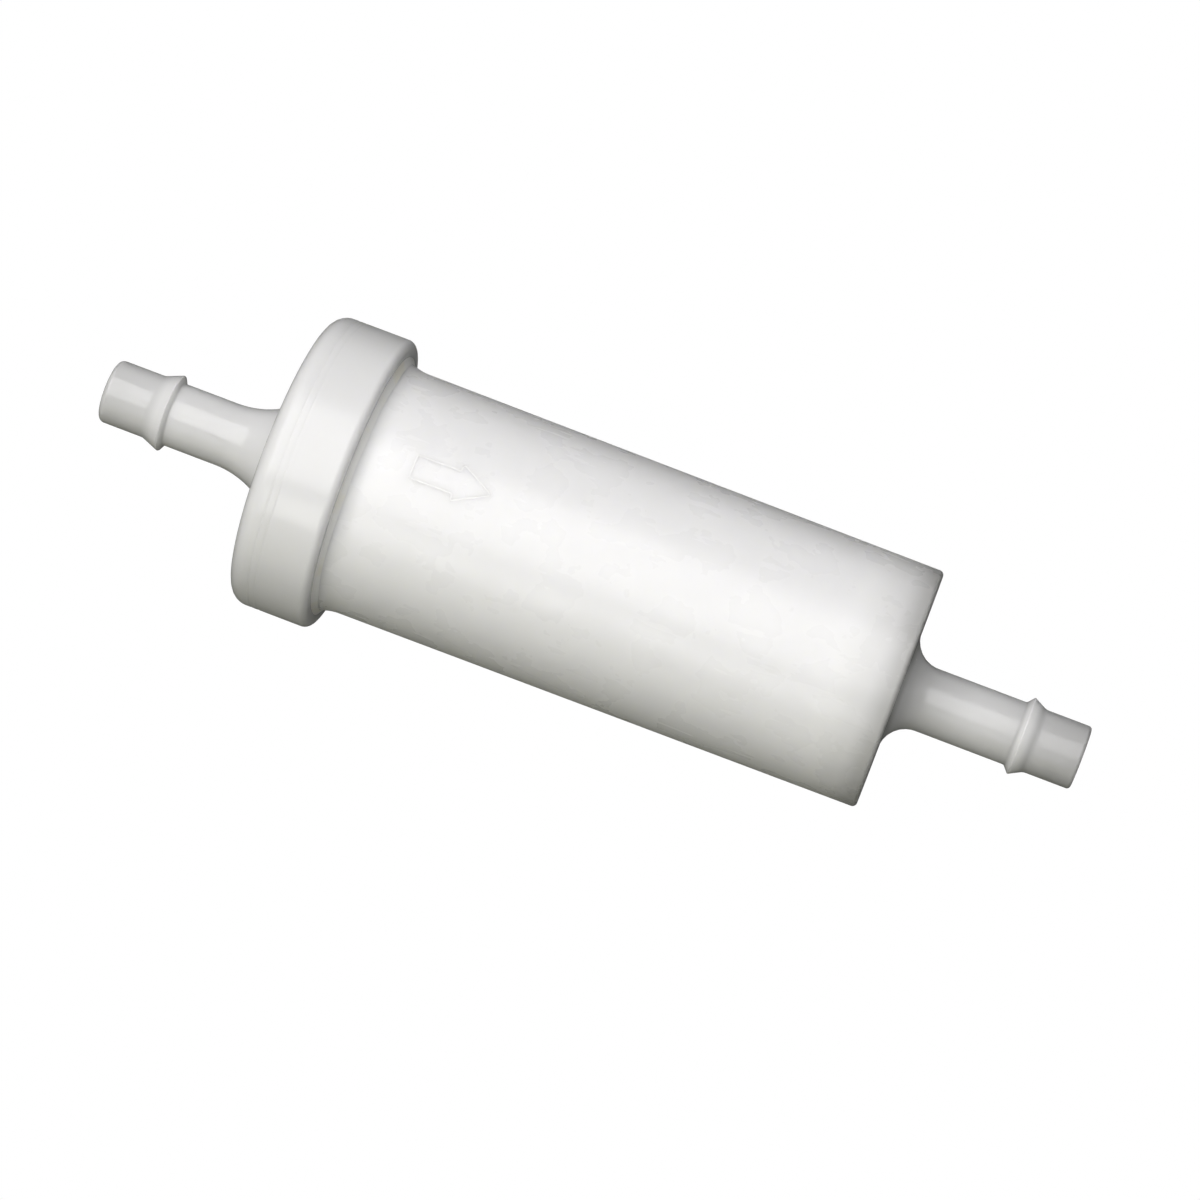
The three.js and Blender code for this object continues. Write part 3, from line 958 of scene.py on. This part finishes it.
def build_cartridge():
    plastic = cartridge_plastic()
    glue = adhesive()
    sheet = drawn_steel("clip_steel", (0.70, 0.70, 0.69, 1), (30, 1, 1), (0.50, 0.48, 0.45, 1))
    inlet_glue = make_potting("inlet_glue", 0, *INLET_GLUE, free_end=INLET_GLUE[1])
    outlet_glue = make_potting("outlet_glue", CORE_INNER, *OUTLET_GLUE, free_end=OUTLET_GLUE[0])
    place_piece(make_closed_disc(), "closed_end_disc", "cartridge", plastic)
    place_piece(inlet_glue, "inlet_potting", "cartridge", glue)
    place_piece(make_pleated_paper(), "pleated_media", "cartridge", filter_paper())
    place_piece(make_seam_clip(), "side_seam_clip", "cartridge", sheet)
    place_piece(make_core(), "core_tube", "cartridge", plastic)
    place_piece(outlet_glue, "outlet_potting", "cartridge", glue)
    place_piece(make_open_disc(), "open_end_disc", "cartridge", plastic)
    place_piece(make_o_ring(), "outlet_seal", "cartridge", seal_rubber())


# ---- Studio -------------------------------------------------------------------------------

def glowing_white():
    material = bpy.data.materials.new("studio_white")
    material.use_nodes = True
    shader = material.node_tree.nodes["Principled BSDF"]
    shader.inputs["Base Color"].default_value = (0, 0, 0, 1)
    shader.inputs["Specular IOR Level"].default_value = 0
    shader.inputs["Emission Color"].default_value = (1, 1, 1, 1)
    shader.inputs["Emission Strength"].default_value = 1.0
    return material


def make_studio_floor(level):
    """A white floor that rises into a dome. Only the camera sees it, so it lights nothing."""
    dome_radius = 3.0
    rings = 24
    shell = bmesh.new()
    bmesh.ops.create_circle(shell, cap_ends=True, radius=dome_radius, segments=96)
    edges = list(shell.edges)
    for i in range(rings):
        lifted = bmesh.ops.extrude_edge_only(shell, edges=edges)["geom"]
        rim = [v for v in lifted if isinstance(v, bmesh.types.BMVert)]
        edges = [e for e in lifted if isinstance(e, bmesh.types.BMEdge)]
        angle = (i + 1) / rings * math.pi / 2
        for vert in rim:
            flat = Vector((vert.co.x, vert.co.y, 0)).normalized()
            vert.co = flat * dome_radius * math.cos(angle)
            vert.co.z = dome_radius * math.sin(angle)
    mesh = bpy.data.meshes.new("studio_floor")
    shell.to_mesh(mesh)
    shell.free()
    mesh.shade_smooth()
    floor = new_object("studio_floor", mesh)
    floor.location.z = level
    floor.data.materials.append(glowing_white())
    floor.visible_diffuse = False
    floor.visible_glossy = False
    floor.visible_transmission = False
    floor.visible_shadow = False


def add_softbox(name, direction, distance, size, power, colour):
    """A soft light that faces the middle of the filter, with its second side across the flow."""
    light = bpy.data.lights.new(name, "AREA")
    light.shape = "RECTANGLE"
    light.size, light.size_y = size
    light.energy = power
    light.color = colour
    lamp = new_object(name, light)
    towards = Vector(direction).normalized()
    lamp.location = towards * distance
    lamp.rotation_mode = "QUATERNION"
    lamp.rotation_quaternion = towards.to_track_quat("Z", "Y")


def add_lights():
    """A broad key above the inlet end, a small window, fills on all sides and a dim room."""
    add_softbox(
        "key_light",
        direction=(-0.28, 0.0, 0.96),
        distance=0.8,
        size=(0.95, 0.85),
        power=7.4,
        colour=(1.0, 0.99, 0.99),
    )
    add_softbox(
        "window",
        direction=(-0.1, -0.78, 0.62),
        distance=1.0,
        size=(0.26, 0.32),
        power=0.95,
        colour=(1.0, 1.0, 0.95),
    )
    add_softbox(
        "near_fill",
        direction=(-0.25, -0.95, 0.1),
        distance=1.2,
        size=(1.2, 0.8),
        power=0.75,
        colour=(0.97, 1.0, 0.35),
    )
    add_softbox(
        "far_fill",
        direction=(-0.25, 0.95, 0.15),
        distance=1.2,
        size=(1.2, 0.8),
        power=1.0,
        colour=(1.0, 1.0, 1.0),
    )
    add_softbox(
        "outlet_fill",
        direction=(0.8, 0.0, 0.6),
        distance=1.0,
        size=(0.8, 0.8),
        power=0.85,
        colour=(1.0, 1.0, 1.0),
    )
    world = bpy.data.worlds.new("room")
    world.use_nodes = True
    background = world.node_tree.nodes["Background"]
    background.inputs["Color"].default_value = (1.0, 1.0, 0.96, 1)
    background.inputs["Strength"].default_value = 0.07
    bpy.context.scene.world = world


def add_camera():
    """A long lens, high over the inlet's right-hand side, rolled so that the outlet falls away."""
    azimuth = math.radians(15.9)
    elevation = math.radians(73.4)
    roll = math.radians(5.53)
    target = Vector((0.0023, -0.00267, -0.00077))
    distance = 0.519
    back = Vector((
        math.sin(azimuth) * math.cos(elevation),
        -math.cos(azimuth) * math.cos(elevation),
        math.sin(elevation),
    ))
    data = bpy.data.cameras.new("camera")
    data.lens = 126
    data.sensor_width = 36
    camera = new_object("camera", data)
    camera.location = target + back * distance
    camera.rotation_mode = "QUATERNION"
    upright = (-back).to_track_quat("-Z", "Y")
    camera.rotation_quaternion = upright @ Quaternion((0, 0, 1), roll)
    bpy.context.scene.camera = camera


build_housing()
build_cartridge()
make_studio_floor(cad_box[0].z)
add_lights()
add_camera()
bpy.context.scene.view_settings.view_transform = "Standard"
